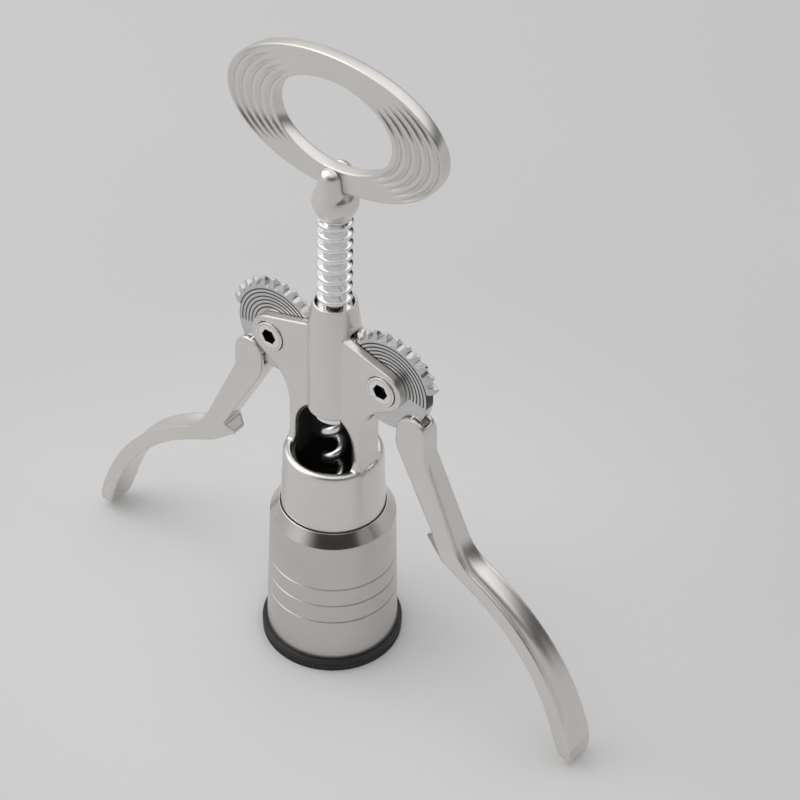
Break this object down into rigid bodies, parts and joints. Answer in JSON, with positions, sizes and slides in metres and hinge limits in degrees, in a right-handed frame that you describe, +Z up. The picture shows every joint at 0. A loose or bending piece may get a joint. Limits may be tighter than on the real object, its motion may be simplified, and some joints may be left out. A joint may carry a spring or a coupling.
{
  "type": "wing corkscrew",
  "caption": "Wing corkscrew: geared levers lift a ring-toothed rack with a turning worm and oval handle, over a sliding bell.",
  "frame": {"origin": "on the floor under the worm's axis, at the centre of the bell's foot", "axes": "+Z up along the worm's axis, +X along the plane in which the levers swing, -Y out of the window's face"},
  "size_m": [0.2114, 0.0494, 0.2321],
  "materials": {
    "satin_casting": "satin plating on a casting",
    "satin_bell": "satin, turned",
    "gear_plate": "turned, bright",
    "polished": "polished",
    "plain_steel": "plain",
    "black_plastic": "matt",
    "black_rubber": "matt"
  },
  "bodies": {
    "frame": {"body": "satin_casting", "neck_guide": "black_plastic", "friction_ring": "black_rubber", "pivot_sleeves": "plain_steel", "pivot_screws": "satin_casting"},
    "bell": {"bell": "satin_bell", "foot_ring": "black_rubber"},
    "rack": {"rack": "polished", "stop_collar": "polished", "thrust_washer": "plain_steel"},
    "screw": {"spindle": "polished", "worm": "polished", "hub": "polished", "hub_pin": "plain_steel", "handle_ring": "satin_casting"},
    "right_lever": {"right_gear": "gear_plate", "right_arm": "satin_casting", "right_lever_pins": "plain_steel"},
    "left_lever": {"left_gear": "gear_plate", "left_arm": "satin_casting", "left_lever_pins": "plain_steel"}
  },
  "joints": [
    {"name": "right_lever_pivot", "type": "hinge", "parent": "frame", "child": "right_lever", "pos_m": [0.0228, 0, 0.12005], "axis": [0, -1, 0], "range_deg": [0, 105]},
    {"name": "left_lever_pivot", "type": "hinge", "parent": "frame", "child": "left_lever", "pos_m": [-0.0228, 0, 0.12005], "axis": [0, 1, 0], "range_deg": [0, 105]},
    {"name": "rack_slide", "type": "slide", "parent": "frame", "child": "rack", "axis": [0, 0, -1], "range_m": [0, 0.0334]},
    {"name": "screw_turn", "type": "hinge", "parent": "rack", "child": "screw", "pos_m": [0, 0, 0.1756], "axis": [0, 0, 1], "continuous": true},
    {"name": "bell_slide", "type": "slide", "parent": "frame", "child": "bell", "axis": [0, 0, 1], "range_m": [0, 0.018]}
  ],
  "couplings": [
    {"joint": "left_lever_pivot", "follows": "right_lever_pivot", "ratio": 1},
    {"joint": "rack_slide", "follows": "right_lever_pivot", "m_per_rad": 0.0182}
  ]
}
